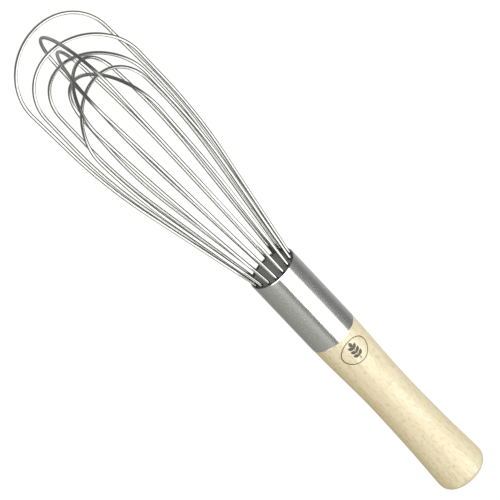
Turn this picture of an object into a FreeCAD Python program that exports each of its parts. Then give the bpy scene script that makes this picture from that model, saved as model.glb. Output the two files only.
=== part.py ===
import FreeCAD, Part
import math
import os

# Balloon whisk, millimetres.  It stands on the butt of its handle, wires up.
# +Z is the whisk's own axis.  The origin is the centre of the butt face.

# handle
SHOULDER_Z = 98.6       # where the wood stops and the tube begins
SHOULDER_R = 11.75
TENON_R = 11.15
TENON_LENGTH = 22.0
BUTT_FLAT_R = 7.8

# ferrule
TUBE_R = 11.85
TUBE_WALL = 0.70
TUBE_LENGTH = 43.9
TUBE_EDGE = 0.20        # rounding of both rims

# wires
WIRE_R = 0.80
RING_R = 10.15          # centre line of the wire ends at the mouth
RING_START = -76.5      # direction of the first pair of wire ends, in degrees
RING_STEP = 22.5
EMBED = 14.0            # how deep each wire end sits in the seal
STRAIGHT_SHARE = 0.56   # straight part of a leg, before it bends parallel

MOUTH_Z = SHOULDER_Z + TUBE_LENGTH
BORE_R = TUBE_R - TUBE_WALL

# Each loop is bent by hand, so its round top differs a little from its neighbours:
# slot    place on the ring of wire ends, counted from RING_START in RING_STEP
# twist   turn of the top against the wire ends, degrees
# half    radius of the round top
# bend    height above the mouth where the legs have become parallel
# tip     height of the top above the mouth
# shift   sideways offset of the top along X
# tilt    lean of the top towards +X, degrees
LOOPS = {
    "wire_loop_1": dict(slot=0, twist=-1.1, half=25.6, bend=113, tip=163.6, shift=-5.0, tilt=-2.2),
    "wire_loop_2": dict(slot=7, twist=-6.3, half=25.6, bend=107, tip=150.6, shift=-2.0, tilt=-0.2),
    "wire_loop_3": dict(slot=6, twist=0.0, half=23.8, bend=100, tip=141.7, shift=-1.4, tilt=0.1),
    "wire_loop_4": dict(slot=4, twist=-1.3, half=25.7, bend=94, tip=155.8, shift=-1.9, tilt=0.3),
    "wire_loop_5": dict(slot=3, twist=0.3, half=25.0, bend=112, tip=145.5, shift=-3.3, tilt=-3.4),
    "wire_loop_6": dict(slot=5, twist=-2.8, half=25.3, bend=87, tip=130.9, shift=-1.4, tilt=1.9),
    "wire_loop_7": dict(slot=2, twist=-4.4, half=21.1, bend=108, tip=136.2, shift=-2.6, tilt=-3.4),
    "wire_loop_8": dict(slot=1, twist=-3.5, half=23.7, bend=100, tip=126.0, shift=-2.6, tilt=-2.4),
}


def point(rho, height):
    return FreeCAD.Vector(rho, 0, height)


def turned(edges):
    """Revolve a closed outline in the XZ plane about Z."""
    axis = FreeCAD.Vector(0, 0, 1)
    return Part.Face(Part.Wire(edges)).revolve(FreeCAD.Vector(0, 0, 0), axis, 360)


def make_handle():
    """Turned wood: rounded butt, slim waist, shoulder, tenon up inside the tube."""
    side = [(12.1, 4.3), (11.95, 9.0), (11.78, 13.0), (11.22, 25.0), (10.87, 39.0), (10.62, 53.0),
            (10.72, 63.0), (10.87, 70.0), (11.1, 76.0), (11.38, 83.0), (SHOULDER_R, SHOULDER_Z)]
    curve = Part.BSplineCurve()
    curve.interpolate(Points=[point(r, z) for r, z in side],
                      InitialTangent=point(0.0, 1.0), FinalTangent=point(0.3, 10.0))
    top = SHOULDER_Z + TENON_LENGTH
    corners = [(SHOULDER_R, SHOULDER_Z), (TENON_R, SHOULDER_Z), (TENON_R, top - 0.8),
               (TENON_R - 0.8, top), (0, top), (0, 0), (BUTT_FLAT_R, 0)]
    edges = [Part.makeLine(point(*a), point(*b)) for a, b in zip(corners, corners[1:])]
    edges.append(Part.Arc(point(BUTT_FLAT_R, 0), point(10.84, 1.26), point(12.1, 4.3)).toShape())
    edges.append(curve.toShape())
    return turned(Part.__sortEdges__(edges))


def make_ferrule():
    """Plain drawn tube pushed over the tenon, both rims eased."""
    corners = [(BORE_R, SHOULDER_Z), (TUBE_R, SHOULDER_Z), (TUBE_R, MOUTH_Z), (BORE_R, MOUTH_Z)]
    corners.append(corners[0])
    tube = turned([Part.makeLine(point(*a), point(*b)) for a, b in zip(corners, corners[1:])])
    rims = [e for e in tube.Edges
            if e.BoundBox.ZLength < 1e-6 and e.BoundBox.XLength > 2 * TUBE_R - 0.1]
    return tube.makeFillet(TUBE_EDGE, rims).Solids[0]


def leg_angle(reach, bend):
    """Slope from the axis of a leg that moves out by reach while it rises by bend."""
    straight = STRAIGHT_SHARE * bend
    low, high = 0.001, 0.7
    for _ in range(60):
        angle = (low + high) / 2
        if straight * math.tan(angle) + (bend - straight) * math.tan(angle / 2) < reach:
            low = angle
        else:
            high = angle
    return angle


def leg_points(root, shoulder, up, bend):
    """Buried end, knee, middle of the bend and end of the bend of one leg."""
    rise = (shoulder - root).dot(up)
    out = shoulder - root - up * rise
    reach = out.Length
    out = out / reach
    straight = STRAIGHT_SHARE * bend
    angle = leg_angle(reach, bend)
    radius = (bend - straight) / math.sin(angle)
    along = up * math.cos(angle) + out * math.sin(angle)
    knee = root + out * (straight * math.tan(angle)) + up * straight
    centre = root + out * (reach - radius) + up * bend
    middle = centre + out * (radius * math.cos(angle / 2)) - up * (radius * math.sin(angle / 2))
    end = root - along * (EMBED / math.cos(angle))
    return end, knee, middle, centre + out * radius, along


def make_loop(slot, twist, half, bend, tip, shift, tilt):
    """Leg, bend, straight, round top, and the same again down the other side."""
    turn = math.radians(RING_START + slot * RING_STEP - 90)
    root = FreeCAD.Vector(RING_R * math.cos(turn), RING_R * math.sin(turn), 0)
    lean = math.radians(tilt)
    up = FreeCAD.Vector(math.sin(lean), 0, math.cos(lean))
    turn += math.radians(twist)
    side = FreeCAD.Vector(math.cos(turn), math.sin(turn), 0)
    side = side - up * side.dot(up)
    side = side / side.Length * half
    middle = FreeCAD.Vector(shift, 0, tip - half)
    first = leg_points(root, middle + side, up, bend)
    second = leg_points(-root, middle - side, up, bend)
    edges = [
        Part.makeLine(first[0], first[1]),
        Part.Arc(first[1], first[2], first[3]).toShape(),
        Part.makeLine(first[3], middle + side),
        Part.Arc(middle + side, middle + up * half, middle - side).toShape(),
        Part.makeLine(middle - side, second[3]),
        Part.Arc(second[3], second[2], second[1]).toShape(),
        Part.makeLine(second[1], second[0]),
    ]
    path = Part.Wire(edges)
    section = Part.Wire([Part.makeCircle(WIRE_R, first[0], first[4])])
    wire = path.makePipeShell([section], True, False)
    expected = math.pi * WIRE_R ** 2 * path.Length
    print("  length", round(path.Length, 1), "volume over expected", round(wire.Volume / expected, 5))
    wire.translate(FreeCAD.Vector(0, 0, MOUTH_Z))
    return wire


def make_seal(wires):
    """Potting compound that fills the tube above the tenon and grips every wire."""
    bottom = SHOULDER_Z + TENON_LENGTH
    plug = Part.makeCylinder(BORE_R, MOUTH_Z - 0.3 - bottom, point(0, bottom))
    return plug.cut(Part.makeCompound(list(wires.values()))).Solids[0]


wires = {name: make_loop(**loop) for name, loop in LOOPS.items()}
nodes = {"handle": make_handle(), "ferrule": make_ferrule(), "seal": make_seal(wires)}
nodes.update(wires)

os.makedirs("parts", exist_ok=True)
for name, shape in nodes.items():
    print(name, shape.ShapeType, shape.isValid(), "volume", round(shape.Volume, 1))
    shape.exportStep("parts/" + name + ".step")
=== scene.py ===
import math
import bpy
from mathutils import Matrix, Vector


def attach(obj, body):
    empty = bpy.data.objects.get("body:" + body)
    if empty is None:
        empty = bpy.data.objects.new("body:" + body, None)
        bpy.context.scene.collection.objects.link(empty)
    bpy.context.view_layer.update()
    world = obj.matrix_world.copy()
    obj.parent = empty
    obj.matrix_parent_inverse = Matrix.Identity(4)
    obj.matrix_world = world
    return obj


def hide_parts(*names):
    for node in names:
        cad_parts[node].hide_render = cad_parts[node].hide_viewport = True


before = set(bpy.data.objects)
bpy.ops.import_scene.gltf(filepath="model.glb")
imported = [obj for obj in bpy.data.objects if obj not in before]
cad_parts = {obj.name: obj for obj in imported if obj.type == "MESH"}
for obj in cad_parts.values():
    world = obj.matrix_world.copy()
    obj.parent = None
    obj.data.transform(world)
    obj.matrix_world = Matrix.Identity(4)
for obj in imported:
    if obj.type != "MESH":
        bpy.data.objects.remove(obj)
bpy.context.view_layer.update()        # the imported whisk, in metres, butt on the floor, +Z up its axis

mm = 0.001
hair = 0.01                 # mm, nearer than this counts as touching
wholeSpan = (0.0, 1.0)
middleSpan = (0.3, 0.7)     # where most of a noise's values lie
scene = bpy.context.scene


def deselectAll():
    bpy.ops.object.select_all(action="DESELECT")


def applyPlace():
    bpy.ops.object.transform_apply(location=True, rotation=True, scale=True)


def placeInMesh(name):
    piece = bpy.context.object
    piece.name = name
    piece.data.name = name
    applyPlace()
    return piece


def beginPiece(name, sides, radius, height, fill):
    deselectAll()
    bpy.ops.mesh.primitive_circle_add(vertices=sides, radius=radius * mm, fill_type=fill,
                                      location=(0, 0, height * mm))
    return placeInMesh(name)


def enterEdit():
    bpy.ops.object.mode_set(mode="EDIT")


def leaveEdit():
    bpy.ops.object.mode_set(mode="OBJECT")


def editAll():
    enterEdit()
    bpy.ops.mesh.select_mode(type="VERT")
    bpy.ops.mesh.select_all(action="SELECT")


def finishEdit():
    bpy.ops.mesh.select_all(action="SELECT")
    bpy.ops.mesh.normals_make_consistent(inside=False)
    leaveEdit()


def pushRing(step):
    bpy.ops.mesh.extrude_region_move(TRANSFORM_OT_translate={"value": tuple(step)})


def liftRing(rise):
    pushRing((0, 0, rise * mm))


def resizeRing(factor, height):
    bpy.ops.transform.resize(value=(factor, factor, 1), center_override=(0, 0, height * mm))


def applyModifier(piece, kind, settings):
    bpy.context.view_layer.objects.active = piece
    modifier = piece.modifiers.new(kind.title(), kind)
    for key, value in settings.items():
        setattr(modifier, key, value)
    bpy.ops.object.modifier_apply(modifier=modifier.name)


def smoothShade(piece, angle):
    deselectAll()
    piece.select_set(True)
    bpy.context.view_layer.objects.active = piece
    bpy.ops.object.shade_smooth_by_angle(angle=math.radians(angle))


def newMaterial(name):
    material = bpy.data.materials.new(name)
    material.use_nodes = True
    tree = material.node_tree
    return material, tree, tree.nodes["Principled BSDF"]


def addNode(tree, kind, place, **inputs):
    node = tree.nodes.new(kind)
    node.location = place
    for key, value in inputs.items():
        node.inputs[key.replace("_", " ")].default_value = value
    return node


def objectNoise(tree, place, stretch, detail, roughness=0.5, distortion=0.0):
    x, y = place
    coords = addNode(tree, "ShaderNodeTexCoord", (x - 400, y))
    mapping = addNode(tree, "ShaderNodeMapping", (x - 200, y), Scale=stretch)
    noise = addNode(tree, "ShaderNodeTexNoise", place, Scale=1.0, Detail=detail,
                    Roughness=roughness, Distortion=distortion)
    tree.links.new(coords.outputs["Object"], mapping.inputs["Vector"])
    tree.links.new(mapping.outputs["Vector"], noise.inputs["Vector"])
    return noise


def addRamp(tree, place, source, stops):
    ramp = tree.nodes.new("ShaderNodeValToRGB")
    ramp.location = place
    elements = ramp.color_ramp.elements
    while len(elements) < len(stops):
        elements.new(0.5)
    for element, (position, colour) in zip(elements, stops):
        element.position = position
        element.color = (*colour, 1) if isinstance(colour, tuple) else greyTone(colour)
    tree.links.new(source, ramp.inputs["Fac"])
    return ramp


def greyTone(value):
    return (value, value, value, 1)


def mixColours(tree, place, factor, first, second):
    mix = tree.nodes.new("ShaderNodeMix")
    mix.data_type = "RGBA"
    mix.location = place
    for socket, value in zip((mix.inputs[0], mix.inputs[6], mix.inputs[7]), (factor, first, second)):
        if isinstance(value, bpy.types.NodeSocket):
            tree.links.new(value, socket)
        else:
            socket.default_value = value
    return mix.outputs[2]


def addBump(tree, shader, place, height, strength, distance):
    bump = addNode(tree, "ShaderNodeBump", place, Strength=strength, Distance=distance * mm)
    tree.links.new(height, bump.inputs["Height"])
    tree.links.new(bump.outputs["Normal"], shader.inputs["Normal"])


def varyRoughness(tree, shader, place, source, span, limits):
    gloss = addNode(tree, "ShaderNodeMapRange", place, From_Min=span[0], From_Max=span[1],
                    To_Min=limits[0], To_Max=limits[1])
    tree.links.new(source, gloss.inputs["Value"])
    tree.links.new(gloss.outputs["Result"], shader.inputs["Roughness"])


maple = {
    "pale": (0.645, 0.615, 0.50, 1),
    "honey": (0.565, 0.51, 0.375, 1),
    "fleck": (0.44, 0.35, 0.20, 1),
    "grain": (900, 900, 45),        # fine fibre streaks, features per metre
    "grainStops": [(0.35, 0.0), (0.70, 1.0)],
    "grainShare": 0.50,
    "figure": (260, 260, 24),       # broad soft bands
    "figureStops": [(0.38, 0.0), (0.62, 1.0)],
    "waver": 0.6,
    "flecks": (1300, 1300, 420),    # short ray flecks
    "fleckStops": [(0.52, 0.0), (0.66, 1.0)],
    "fleckShare": 0.50,
    "roughness": (0.30, 0.40),
    "bump": 0.25,
    "bumpDepth": 0.06,
}


def makeMaple():
    material, tree, shader = newMaterial("varnishedMaple")
    figure = objectNoise(tree, (-900, 400), maple["figure"], 3, distortion=maple["waver"])
    grain = objectNoise(tree, (-900, 100), maple["grain"], 5, 0.6)
    flecks = objectNoise(tree, (-900, -200), maple["flecks"], 2)
    broad = addRamp(tree, (-650, 400), figure.outputs["Fac"], maple["figureStops"])
    fine = addRamp(tree, (-650, 100), grain.outputs["Fac"], maple["grainStops"])
    spots = addRamp(tree, (-650, -200), flecks.outputs["Fac"], maple["fleckStops"])
    banded = mixColours(tree, (-350, 400), broad.outputs["Color"], maple["pale"], maple["honey"])
    streaked = mixColours(tree, (-500, 150), fine.outputs["Color"], maple["pale"], maple["honey"])
    wood = mixColours(tree, (-350, 150), maple["grainShare"], banded, streaked)
    amount = addNode(tree, "ShaderNodeMath", (-350, -150))
    amount.operation = "MULTIPLY"
    amount.inputs[1].default_value = maple["fleckShare"]
    tree.links.new(spots.outputs["Color"], amount.inputs[0])
    wood = mixColours(tree, (-150, 200), amount.outputs["Value"], wood, maple["fleck"])
    tree.links.new(wood, shader.inputs["Base Color"])
    varyRoughness(tree, shader, (-350, -350), grain.outputs["Fac"], wholeSpan, maple["roughness"])
    addBump(tree, shader, (-150, -350), grain.outputs["Fac"], maple["bump"], maple["bumpDepth"])
    return material


satin = {
    "brushing": (5200, 5200, 60),       # fine lines along the tube
    "cloud": (130, 130, 60),            # slow changes of gloss
    "tone": [(0.3, (0.685, 0.685, 0.67)), (0.7, (0.75, 0.75, 0.735))],
    "rimShadeFrom": 142.3,                   # above this the rim is darkened: painted shade
    "rimShadeOver": 0.1,
    # painted shade: the dark tone given to the top of the rim
    "rimShade": (0.22, 0.22, 0.22, 1),
    "roughness": (0.15, 0.19),
    "bump": 0.06,
    "bumpDepth": 0.01,
}


def makeSatinSteel():
    material, tree, shader = newMaterial("satinSteel")
    shader.inputs["Metallic"].default_value = 1.0
    brushing = objectNoise(tree, (-900, 200), satin["brushing"], 3, 0.6)
    cloud = objectNoise(tree, (-900, -100), satin["cloud"], 3)
    tone = addRamp(tree, (-600, 200), brushing.outputs["Fac"], satin["tone"])
    coords = addNode(tree, "ShaderNodeTexCoord", (-900, 500))
    parts = addNode(tree, "ShaderNodeSeparateXYZ", (-700, 500))
    tree.links.new(coords.outputs["Object"], parts.inputs[0])
    # painted shade: the steel is darkened towards the top of the rim
    edge = addNode(tree, "ShaderNodeMapRange", (-500, 500), From_Min=satin["rimShadeFrom"] * mm,
                   From_Max=(satin["rimShadeFrom"] + satin["rimShadeOver"]) * mm)
    tree.links.new(parts.outputs["Z"], edge.inputs["Value"])
    steel = mixColours(tree, (-300, 300), edge.outputs["Result"], tone.outputs["Color"],
                       satin["rimShade"])
    tree.links.new(steel, shader.inputs["Base Color"])
    varyRoughness(tree, shader, (-600, -100), cloud.outputs["Fac"], middleSpan, satin["roughness"])
    addBump(tree, shader, (-300, -300), brushing.outputs["Fac"], satin["bump"], satin["bumpDepth"])
    return material


bright = {
    "drawn": (2600, 2600, 500),         # marks of the drawing die
    "tone": [(0.3, (0.275, 0.28, 0.265)), (0.7, (0.325, 0.33, 0.315))],
    "roughness": (0.08, 0.16),
}


def makeBrightWire():
    material, tree, shader = newMaterial("brightWire")
    shader.inputs["Metallic"].default_value = 1.0
    drawn = objectNoise(tree, (-900, 200), bright["drawn"], 3, 0.6)
    tone = addRamp(tree, (-600, 200), drawn.outputs["Fac"], bright["tone"])
    tree.links.new(tone.outputs["Color"], shader.inputs["Base Color"])
    varyRoughness(tree, shader, (-600, -100), drawn.outputs["Fac"], middleSpan, bright["roughness"])
    return material


sealant = {
    "grit": (2500, 2500, 2500),
    "cloud": (260, 260, 260),
    "tone": [(0.3, (0.100, 0.105, 0.114)), (0.7, (0.172, 0.182, 0.198))],
    "haze": (0.162, 0.172, 0.187, 1),
    "creaseShade": (0.03, 0.03, 0.032, 1),   # painted shade: the dark line where it meets the tube
    "creaseFrom": 9.8,
    "creaseTo": 10.7,
    "roughness": 0.62,
    "bump": 0.35,
    "bumpDepth": 0.08,
}


def makeSealant():
    material, tree, shader = newMaterial("greySealant")
    grit = objectNoise(tree, (-900, 200), sealant["grit"], 4, 0.6)
    cloud = objectNoise(tree, (-900, -100), sealant["cloud"], 2)
    tone = addRamp(tree, (-600, 200), grit.outputs["Fac"], sealant["tone"])
    grey = mixColours(tree, (-300, 200), cloud.outputs["Fac"], tone.outputs["Color"], sealant["haze"])
    # painted shade: the grey darkens towards the tube wall, by radius
    coords = addNode(tree, "ShaderNodeTexCoord", (-900, 500))
    flat = addNode(tree, "ShaderNodeMapping", (-700, 500), Scale=(1, 1, 0))
    radius = addNode(tree, "ShaderNodeVectorMath", (-500, 500))
    radius.operation = "LENGTH"
    tree.links.new(coords.outputs["Object"], flat.inputs["Vector"])
    tree.links.new(flat.outputs["Vector"], radius.inputs[0])
    creaseShade = addNode(tree, "ShaderNodeMapRange", (-300, 500), From_Min=sealant["creaseFrom"] * mm,
                     From_Max=sealant["creaseTo"] * mm)
    tree.links.new(radius.outputs["Value"], creaseShade.inputs["Value"])
    grey = mixColours(tree, (-100, 300), creaseShade.outputs["Result"], grey, sealant["creaseShade"])
    tree.links.new(grey, shader.inputs["Base Color"])
    shader.inputs["Roughness"].default_value = sealant["roughness"]
    addBump(tree, shader, (-300, -200), grit.outputs["Fac"], sealant["bump"], sealant["bumpDepth"])
    return material


ink = {
    "wear": (2200, 2200, 900),
    "tone": [(0.35, (0.020, 0.017, 0.009)), (0.75, (0.06, 0.05, 0.03))],
    "roughness": 0.5,
}


def makeInk():
    material, tree, shader = newMaterial("printedInk")
    wear = objectNoise(tree, (-900, 200), ink["wear"], 3)
    tone = addRamp(tree, (-600, 200), wear.outputs["Fac"], ink["tone"])
    tree.links.new(tone.outputs["Color"], shader.inputs["Base Color"])
    shader.inputs["Roughness"].default_value = ink["roughness"]
    return material


def finishPiece(piece, material, node, smoothAngle):
    smoothShade(piece, smoothAngle)
    piece.data.materials.clear()
    piece.data.materials.append(material)
    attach(piece, "root")
    if node:
        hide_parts(node)
    print("made", piece.name, len(piece.data.polygons), "faces")


handle = {
    "sides": 64,
    "widest": 12.1,
    "buttRound": 4.25,
    "roundSteps": 6,
    # height and radius up the turned side
    "stations": [(6.2, 12.07), (9, 11.94), (13, 11.77), (18, 11.52), (25, 11.22), (32, 11.02),
                 (39, 10.86), (46, 10.72), (53, 10.63), (59, 10.64), (65, 10.74), (70, 10.87),
                 (76, 11.10), (80, 11.26), (86, 11.48), (92, 11.63), (97.4, 11.74), (98.25, 11.76)],
    "shoulder": 98.6,
    "shoulderRadius": 11.62,        # a little eased
    "tenonRadius": 11.1,
    "tenonFoot": 0.4,
    "tenonTip": 0.8,                # its tapered end
    "tenonTaper": 0.94,
    "tenonTop": 120.6,
    "smooth": 35,
}


def makeHandle():
    piece = beginPiece("turnedHandle", handle["sides"], handle["widest"], 0, "NGON")
    editAll()
    height, radius = 0, handle["widest"]
    for nextHeight, nextRadius in handle["stations"]:
        liftRing(nextHeight - height)
        resizeRing(nextRadius / radius, nextHeight)
        height, radius = nextHeight, nextRadius
    liftRing(handle["shoulder"] - height)
    resizeRing(handle["shoulderRadius"] / radius, handle["shoulder"])
    liftRing(0)
    resizeRing(handle["tenonRadius"] / handle["shoulderRadius"], handle["shoulder"])
    liftRing(handle["tenonFoot"])
    liftRing(handle["tenonTop"] - handle["shoulder"] - handle["tenonFoot"] - handle["tenonTip"])
    liftRing(handle["tenonTip"])
    resizeRing(handle["tenonTaper"], handle["tenonTop"])
    bpy.ops.mesh.select_all(action="DESELECT")
    leaveEdit()
    for vert in piece.data.vertices:
        vert.select = vert.co.z < hair * mm         # the butt
    enterEdit()
    bpy.ops.mesh.select_mode(type="VERT")
    bpy.ops.mesh.select_mode(type="EDGE")
    bpy.ops.mesh.region_to_loop()
    bpy.ops.mesh.bevel(offset=handle["buttRound"] * mm, offset_type="OFFSET",
                       segments=handle["roundSteps"], profile=0.5, affect="EDGES")
    finishEdit()
    applyModifier(piece, "SUBSURF", {"levels": 1, "render_levels": 1})
    return piece


ferrule = {
    "sides": 160,
    "radius": 11.85,
    "bottom": 98.6,
    "length": 43.9,
    "rings": (0.02, 0.32, 0.32, 0.32, 0.02),        # shares of the length
    "wall": 0.70,
    "rimRound": 0.20,
    "rimSteps": 4,
    "rimAngle": 50,
    "smooth": 35,
}


def makeFerrule():
    piece = beginPiece("steelFerrule", ferrule["sides"], ferrule["radius"], ferrule["bottom"],
                       "NOTHING")
    editAll()
    for share in ferrule["rings"]:
        liftRing(ferrule["length"] * share)
    finishEdit()
    applyModifier(piece, "SOLIDIFY", {"thickness": ferrule["wall"] * mm, "offset": -1,
                                      "use_even_offset": True})
    applyModifier(piece, "BEVEL", {"width": ferrule["rimRound"] * mm, "segments": ferrule["rimSteps"],
                                   "limit_method": "ANGLE",
                                   "angle_limit": math.radians(ferrule["rimAngle"])})
    return piece


wire = {
    "radius": 0.80,
    "sides": 28,
    "mouth": 142.5,
    "ringRadius": 10.15,
    "ringStart": -76.5,
    "ringStep": 22.5,
    "buried": 14.0,
    "straightShare": 0.56,
    "slopes": (0.001, 0.7),         # radians that a leg may lean
    "halvings": 50,
    "bendSteps": 12,
    "topSteps": 64,
    "mergeGap": 0.001,
    "smooth": 40,
    # slot on the ring, twist, radius of the round top, where the legs run parallel, tip,
    # shift along X, tilt
    "loops": [
        {"slot": 0, "twist": -1.1, "half": 25.6, "bend": 113, "tip": 163.6, "shift": -5.0, "tilt": -2.2},
        {"slot": 7, "twist": -6.3, "half": 25.6, "bend": 107, "tip": 150.6, "shift": -2.0, "tilt": -0.2},
        {"slot": 6, "twist": 0.0, "half": 23.8, "bend": 100, "tip": 141.7, "shift": -1.4, "tilt": 0.1},
        {"slot": 4, "twist": -1.3, "half": 25.7, "bend": 94, "tip": 155.8, "shift": -1.9, "tilt": 0.3},
        {"slot": 3, "twist": 0.3, "half": 25.0, "bend": 112, "tip": 145.5, "shift": -3.3, "tilt": -3.4},
        {"slot": 5, "twist": -2.8, "half": 25.3, "bend": 87, "tip": 130.9, "shift": -1.4, "tilt": 1.9},
        {"slot": 2, "twist": -4.4, "half": 21.1, "bend": 108, "tip": 136.2, "shift": -2.6, "tilt": -3.4},
        {"slot": 1, "twist": -3.5, "half": 23.7, "bend": 100, "tip": 126.0, "shift": -2.6, "tilt": -2.4},
    ],
}


def legSlope(reach, bend):
    straight = wire["straightShare"] * bend
    low, high = wire["slopes"]
    for _ in range(wire["halvings"]):
        slope = (low + high) / 2
        if straight * math.tan(slope) + (bend - straight) * math.tan(slope / 2) < reach:
            low = slope
        else:
            high = slope
    return slope


def planLeg(root, shoulder, up, bend):
    rise = (shoulder - root).dot(up)
    out = shoulder - root - up * rise
    reach = out.length
    out = out / reach
    straight = wire["straightShare"] * bend
    slope = legSlope(reach, bend)
    curve = (bend - straight) / math.sin(slope)
    along = up * math.cos(slope) + out * math.sin(slope)
    centre = root + out * (reach - curve) + up * bend
    return {
        "root": root, "slope": slope, "along": along, "centre": centre, "shoulder": shoulder,
        "buried": root - along * (wire["buried"] / math.cos(slope)),
        "knee": root + out * (straight * math.tan(slope)) + up * straight,
        "bendEnd": centre + out * curve,
    }


def planLoop(loop):
    turn = math.radians(wire["ringStart"] + loop["slot"] * wire["ringStep"] - 90)
    root = Vector((math.cos(turn), math.sin(turn), 0)) * wire["ringRadius"]
    lean = math.radians(loop["tilt"])
    up = Vector((math.sin(lean), 0, math.cos(lean)))
    turn += math.radians(loop["twist"])
    side = Vector((math.cos(turn), math.sin(turn), 0))
    side = (side - up * side.dot(up)).normalized() * loop["half"]
    middle = Vector((loop["shift"], 0, loop["tip"] - loop["half"]))
    return {"up": up, "side": side, "middle": middle,
            "first": planLeg(root, middle + side, up, loop["bend"]),
            "second": planLeg(-root, middle - side, up, loop["bend"])}


def fromMouth(point):
    return (point + Vector((0, 0, wire["mouth"]))) * mm


def bendRing(centre, axis, angle, steps):
    bpy.ops.mesh.spin(steps=steps, angle=-angle, center=tuple(fromMouth(centre)),
                      axis=tuple(axis.normalized()))


def bendWire(name, plan):
    first, second, up = plan["first"], plan["second"], plan["up"]
    turned = first["along"].to_track_quat("Z", "Y").to_euler()
    deselectAll()
    bpy.ops.mesh.primitive_circle_add(vertices=wire["sides"], radius=wire["radius"] * mm,
                                      fill_type="NOTHING", location=fromMouth(first["buried"]),
                                      rotation=turned)
    piece = placeInMesh(name)
    editAll()
    pushRing((first["knee"] - first["buried"]) * mm)
    bendRing(first["centre"], first["along"].cross(up), first["slope"], wire["bendSteps"])
    pushRing((first["shoulder"] - first["bendEnd"]) * mm)
    bendRing(plan["middle"], plan["side"].cross(up), math.pi, wire["topSteps"])
    pushRing((second["bendEnd"] - second["shoulder"]) * mm)
    bendRing(second["centre"], up.cross(second["along"]), second["slope"], wire["bendSteps"])
    pushRing((second["buried"] - second["knee"]) * mm)
    leaveEdit()
    ends = [vert.co for vert in piece.data.vertices if vert.select]
    missed = sum(ends, Vector()) / len(ends) - fromMouth(second["buried"])
    enterEdit()
    bpy.ops.mesh.select_all(action="SELECT")
    bpy.ops.mesh.fill_holes(sides=0)
    bpy.ops.mesh.select_all(action="SELECT")
    bpy.ops.mesh.remove_doubles(threshold=wire["mergeGap"] * mm)
    finishEdit()
    print(name, "far end misses its place by", round(missed.length / mm, 4), "mm")
    return piece


seal = {
    "sides": 128,
    "radius": 11.15,
    "bottom": 120.6,
    "top": 142.0,
    "step": 0.36,               # from one ring of the top face to the next
    "rings": 29,
    "wireCollar": 2.2,          # how far it is drawn up each wire
    "collarReach": 1.9,
    "topBand": 0.1,
    "smooth": 50,
}


def makeSeal(roots):
    piece = beginPiece("greySeal", seal["sides"], seal["radius"], seal["bottom"], "NGON")
    editAll()
    liftRing(seal["top"] - seal["bottom"])
    bpy.ops.mesh.select_mode(type="FACE")
    for _ in range(seal["rings"]):
        bpy.ops.mesh.inset(thickness=seal["step"] * mm, depth=0)
    bpy.ops.mesh.poke()
    leaveEdit()
    for root in roots:
        top = [vert for vert in piece.data.vertices if vert.co.z > (seal["top"] - seal["topBand"]) * mm]
        index = min(top, key=lambda vert: (vert.co.xy - root.xy * mm).length).index
        editAll()
        bpy.ops.mesh.select_all(action="DESELECT")      # edges and faces too, not only points
        leaveEdit()
        piece.data.vertices[index].select = True
        enterEdit()
        bpy.ops.transform.translate(value=(0, 0, seal["wireCollar"] * mm), use_proportional_edit=True,
                                    proportional_edit_falloff="SHARP",
                                    proportional_size=seal["collarReach"] * mm)
        leaveEdit()
    print("seal rises to", round(max(vert.co.z for vert in piece.data.vertices) / mm, 2), "mm")
    enterEdit()
    finishEdit()
    return piece


ornament = {
    "height": 89.8, "towards": 9.0, "stand": 13.5,
    "wide": 7.0, "tall": 6.2, "line": 0.38, "ovalSides": 72,
    "leafLong": 2.9, "leafWide": 0.85, "leafPoint": 0.55, "leafGap": 0.15,
    # how far up the stem each leaf grows, and its lean in degrees
    "leaves": [(-3.0, 52), (-0.9, 50), (1.2, 44), (-3.0, -52), (-0.9, -50), (1.2, -44), (2.4, 0)],
    "stemFrom": -4.7, "stemTo": 2.8, "stemWide": 0.34, "stemPieces": 8,
    "lift": 0.04, "inkThick": 0.03,
    "smooth": 40,
}


def flatShape(name, kind):
    deselectAll()
    upright = (math.radians(90), 0, 0)
    if kind == "oval":
        bpy.ops.mesh.primitive_circle_add(vertices=ornament["ovalSides"], radius=1, fill_type="NGON",
                                          rotation=upright)
    else:
        bpy.ops.mesh.primitive_grid_add(x_subdivisions=1, y_subdivisions=ornament["stemPieces"],
                                        size=1, rotation=upright)
    return placeInMesh(name)


def makeLeaf(rise, lean):
    half = ornament["leafLong"] / 2 * mm
    piece = flatShape("leaf", "oval")
    editAll()
    bpy.ops.transform.resize(value=(ornament["leafWide"] * mm, 1, half))
    leaveEdit()
    for vert in piece.data.vertices:
        vert.co.x *= 1 - ornament["leafPoint"] * (abs(vert.co.z) / half) ** 2
    editAll()
    bpy.ops.transform.translate(value=(0, 0, half + ornament["leafGap"] * mm))
    leaveEdit()
    piece.rotation_euler = (0, math.radians(lean), 0)
    piece.location = (0, 0, rise * mm)
    applyPlace()
    return piece


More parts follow.
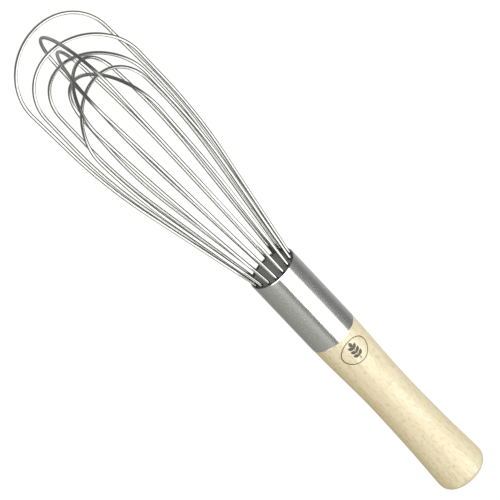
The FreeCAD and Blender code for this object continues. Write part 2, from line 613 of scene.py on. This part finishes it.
def makeOrnament(target):
    outline = flatShape("inkOrnament", "oval")
    editAll()
    bpy.ops.transform.resize(value=(ornament["wide"] * mm, 1, ornament["tall"] * mm))
    bpy.ops.mesh.select_mode(type="FACE")
    bpy.ops.mesh.inset(thickness=ornament["line"] * mm, depth=0)
    bpy.ops.mesh.delete(type="FACE")
    leaveEdit()
    stem = flatShape("stem", "strip")
    length = ornament["stemTo"] - ornament["stemFrom"]
    stem.scale = (ornament["stemWide"] * mm, 1, length * mm)
    stem.location = (0, 0, (ornament["stemFrom"] + length / 2) * mm)
    applyPlace()
    parts = [stem] + [makeLeaf(rise, lean) for rise, lean in ornament["leaves"]]
    deselectAll()
    for part in parts:
        part.select_set(True)
    outline.select_set(True)
    bpy.context.view_layer.objects.active = outline
    bpy.ops.object.join()
    outline.location = (0, -ornament["stand"] * mm, ornament["height"] * mm)
    applyPlace()
    # laid on the wood from the front, then turned round the axis to its place
    applyModifier(outline, "SHRINKWRAP", {"target": target, "wrap_method": "PROJECT",
                                          "use_project_y": True, "use_positive_direction": True,
                                          "use_negative_direction": False,
                                          "offset": ornament["lift"] * mm})
    outline.rotation_euler = (0, 0, math.radians(ornament["towards"]))
    applyPlace()
    applyModifier(outline, "SOLIDIFY", {"thickness": ornament["inkThick"] * mm, "offset": 0})
    return outline


print("making materials")
woodFinish = makeMaple()
steelFinish = makeSatinSteel()
wireFinish = makeBrightWire()
sealFinish = makeSealant()
inkFinish = makeInk()

print("making the handle and ferrule")
handlePiece = makeHandle()
finishPiece(handlePiece, woodFinish, "handle", handle["smooth"])
ferrulePiece = makeFerrule()
finishPiece(ferrulePiece, steelFinish, "ferrule", ferrule["smooth"])

print("bending the wires")
plans = [planLoop(loop) for loop in wire["loops"]]
for number, plan in enumerate(plans, 1):
    bent = bendWire("bentWire" + str(number), plan)
    finishPiece(bent, wireFinish, "wire_loop_" + str(number), wire["smooth"])

print("filling the mouth")
sealPiece = makeSeal([leg["root"] for plan in plans for leg in (plan["first"], plan["second"])])
finishPiece(sealPiece, sealFinish, "seal", seal["smooth"])

print("printing the ornament")
ornamentPiece = makeOrnament(handlePiece)
finishPiece(ornamentPiece, inkFinish, None, ornament["smooth"])


studio = {
    "floorRadius": 9.0,
    "floorColour": (0.08, 0.08, 0.08, 1),     # it glows, so it takes no shadow
    "floorGlow": 0.95,
    "floorRoughness": 0.9,
    "keyPower": 35.0,
    "keyColour": (0.95, 1.0, 1.08),
    "keySize": 1.4,
    "keyTurn": 22.0,
    "keyRise": 30.0,
    "keyDistance": 2.0,
    # what the metal mirrors, by the share of a turn from behind, over the left, front and right,
    # to behind
    "strips": [(0.0, 0.515), (0.12, 0.294), (0.235, 0.386), (0.3, 0.423), (0.358, 0.46),
               (0.374, 4.3), (0.64, 4.3), (0.654, 0.46), (0.68, 0.35), (0.733, 0.276),
               (0.767, 0.248), (0.806, 0.276), (0.85, 0.396), (0.917, 0.515), (1.0, 0.515)],
    "table": [(0.24, 0.40), (0.29, 5.0), (0.71, 5.0), (0.76, 0.34)],     # the same, lower down
    "overhead": [(0.0, 0.85), (0.15, 0.70), (0.30, 0.30), (0.70, 0.30), (0.85, 0.70), (1.0, 0.85)],
    "underneath": 0.80,
    # where one of these gives way to the next, as the height of the direction, from 1 to -1
    "overFrom": -0.10, "overTo": 0.40,
    "lowFrom": -0.60, "lowTo": -0.70,
    "underFrom": -0.82, "underTo": -0.97,
    "warmth": (1.0, 1.005, 0.94),
    "warmUpTo": 0.36,                       # the share of a turn where the warm greys end
    "gain": 4.0,                            # ramps hold the light divided by this
    "ambient": (0.83, 0.73, 0.51),          # soft fill, a little warm
}


# a curved grey card on the left, close to the handle and ferrule, seen only as a reflection
greyCard = {
    "radius": 40.0, "from": -50.0, "to": -5.5, "top": 131.5, "bottom": -150.0, "columns": 32,
    "tones": [(0.361, 0.46), (0.373, 0.506), (0.408, 0.607), (0.429, 0.58), (0.448, 0.368),
              (0.464, 0.276), (0.484, 0.322)],
}


def shareAround(tree, vector):
    parts = addNode(tree, "ShaderNodeSeparateXYZ", (-1000, 0))
    tree.links.new(vector, parts.inputs[0])
    front = addNode(tree, "ShaderNodeMath", (-800, -100))
    front.operation = "MULTIPLY"
    front.inputs[1].default_value = -1
    tree.links.new(parts.outputs["Y"], front.inputs[0])
    around = addNode(tree, "ShaderNodeMath", (-600, 0))
    around.operation = "ARCTAN2"
    tree.links.new(parts.outputs["X"], around.inputs[0])
    tree.links.new(front.outputs[0], around.inputs[1])
    share = addNode(tree, "ShaderNodeMapRange", (-400, 0), From_Min=-math.pi, From_Max=math.pi)
    tree.links.new(around.outputs[0], share.inputs["Value"])
    return share.outputs["Result"], parts.outputs["Z"]


def warmGrey(value):
    return tuple(value * part for part in studio["warmth"])


def makeGreyCard():
    deselectAll()
    bpy.ops.mesh.primitive_grid_add(x_subdivisions=greyCard["columns"], y_subdivisions=2, size=2)
    card = bpy.context.object
    card.name = "greyCard"
    middle, spread = (greyCard["from"] + greyCard["to"]) / 2, (greyCard["to"] - greyCard["from"]) / 2
    for vert in card.data.vertices:
        turn = math.radians(middle + vert.co.x * spread)
        height = greyCard["bottom"] + (vert.co.y + 1) / 2 * (greyCard["top"] - greyCard["bottom"])
        vert.co = Vector((math.sin(turn) * greyCard["radius"], -math.cos(turn) * greyCard["radius"],
                          height)) * mm
    card.visible_camera = False
    card.visible_diffuse = False
    card.visible_shadow = False
    material, tree, _ = newMaterial("greyCardPaper")
    coords = addNode(tree, "ShaderNodeTexCoord", (-1200, 0))
    share, _ = shareAround(tree, coords.outputs["Object"])
    tones = addRamp(tree, (-200, 100), share,
                    [(at, warmGrey(value)) for at, value in greyCard["tones"]])
    glow = addNode(tree, "ShaderNodeEmission", (0, 100), Strength=1.0)
    tree.links.new(tones.outputs["Color"], glow.inputs["Color"])
    tree.links.new(glow.outputs["Emission"], tree.nodes["Material Output"].inputs["Surface"])
    card.data.materials.append(material)


def dimmed(value):
    return value / studio["gain"]


def makeWorld():
    world = bpy.data.worlds.new("studioLight")
    scene.world = world
    world.use_nodes = True
    tree = world.node_tree
    background = tree.nodes["Background"]
    coords = addNode(tree, "ShaderNodeTexCoord", (-1200, 0))
    share, height = shareAround(tree, coords.outputs["Generated"])
    strips = addRamp(tree, (-200, 100), share,
                     [(at, warmGrey(dimmed(value)) if at < studio["warmUpTo"] else dimmed(value))
                      for at, value in studio["strips"]])
    table = addRamp(tree, (-200, -200), share, [(at, dimmed(value)) for at, value in studio["table"]])
    ceiling = addRamp(tree, (-200, -450), share,
                      [(at, dimmed(value)) for at, value in studio["overhead"]])
    tent = strips.outputs["Color"]
    layers = [("over", ceiling.outputs["Color"]), ("low", table.outputs["Color"]),
              ("under", greyTone(dimmed(studio["underneath"])))]
    for number, (zone, light) in enumerate(layers):
        blend = addNode(tree, "ShaderNodeMapRange", (-200, 350 + 250 * number),
                        From_Min=studio[zone + "From"], From_Max=studio[zone + "To"])
        tree.links.new(height, blend.inputs["Value"])
        tent = mixColours(tree, (100 * number, 100), blend.outputs["Result"], tent, light)
    path = addNode(tree, "ShaderNodeLightPath", (200, 400))
    ambient = (*map(dimmed, studio["ambient"]), 1)
    light = mixColours(tree, (400, 100), path.outputs["Is Glossy Ray"], ambient, tent)
    light = mixColours(tree, (600, 100), path.outputs["Is Camera Ray"], light, greyTone(dimmed(1)))
    tree.links.new(light, background.inputs["Color"])
    background.inputs["Strength"].default_value = studio["gain"]
    world.cycles.sampling_method = "NONE"


def makeFloor():
    deselectAll()
    bpy.ops.mesh.primitive_circle_add(vertices=96, radius=studio["floorRadius"], fill_type="NGON")
    floor = bpy.context.object
    floor.name = "paleFloor"
    floor.visible_glossy = False        # the whisk is lit all round, as in a light tent
    floor.visible_diffuse = False
    floor.visible_shadow = False
    material, _, shader = newMaterial("paleSweep")
    shader.inputs["Base Color"].default_value = studio["floorColour"]
    shader.inputs["Emission Color"].default_value = greyTone(1.0)
    shader.inputs["Emission Strength"].default_value = studio["floorGlow"]
    shader.inputs["Roughness"].default_value = studio["floorRoughness"]
    floor.data.materials.append(material)


def makeKeyLight():
    turn, rise = math.radians(studio["keyTurn"]), math.radians(studio["keyRise"])
    towards = Vector((math.sin(turn) * math.cos(rise), -math.cos(turn) * math.cos(rise),
                      math.sin(rise)))
    bpy.ops.object.light_add(type="AREA", location=towards * studio["keyDistance"])
    key = bpy.context.object
    key.name = "softKey"
    key.data.shape = "DISK"
    key.data.size = studio["keySize"]
    key.data.energy = studio["keyPower"]
    key.data.color = studio["keyColour"]
    key.rotation_euler = (-towards).to_track_quat("-Z", "Y").to_euler()
    key.visible_glossy = False


camera = {
    "lens": 576.0, "sensor": 36.0, "distance": 3.52, "clip": (0.1, 60),
    "elevation": 27.5, "roll": 43.45, "aim": (-1.455, 5.79, 153.56),
}


def makeCamera():
    rise, roll = math.radians(camera["elevation"]), math.radians(camera["roll"])
    back = Vector((0, -math.cos(rise), math.sin(rise)))
    over = Vector((0, math.sin(rise), math.cos(rise)))
    right = Vector((1, 0, 0))
    across = right * math.cos(roll) - over * math.sin(roll)
    above = over * math.cos(roll) + right * math.sin(roll)
    place = Vector(camera["aim"]) * mm + back * camera["distance"]
    bpy.ops.object.camera_add(location=place)
    eye = bpy.context.object
    eye.name = "studioCamera"
    eye.data.lens = camera["lens"]
    eye.data.sensor_width = camera["sensor"]
    eye.data.clip_start, eye.data.clip_end = camera["clip"]
    turn = Matrix((across, above, back)).transposed()
    eye.matrix_world = Matrix.Translation(place) @ turn.to_4x4()
    scene.camera = eye


print("setting the studio")
makeWorld()
makeFloor()
makeKeyLight()
makeGreyCard()
makeCamera()
scene.view_settings.view_transform = "Standard"
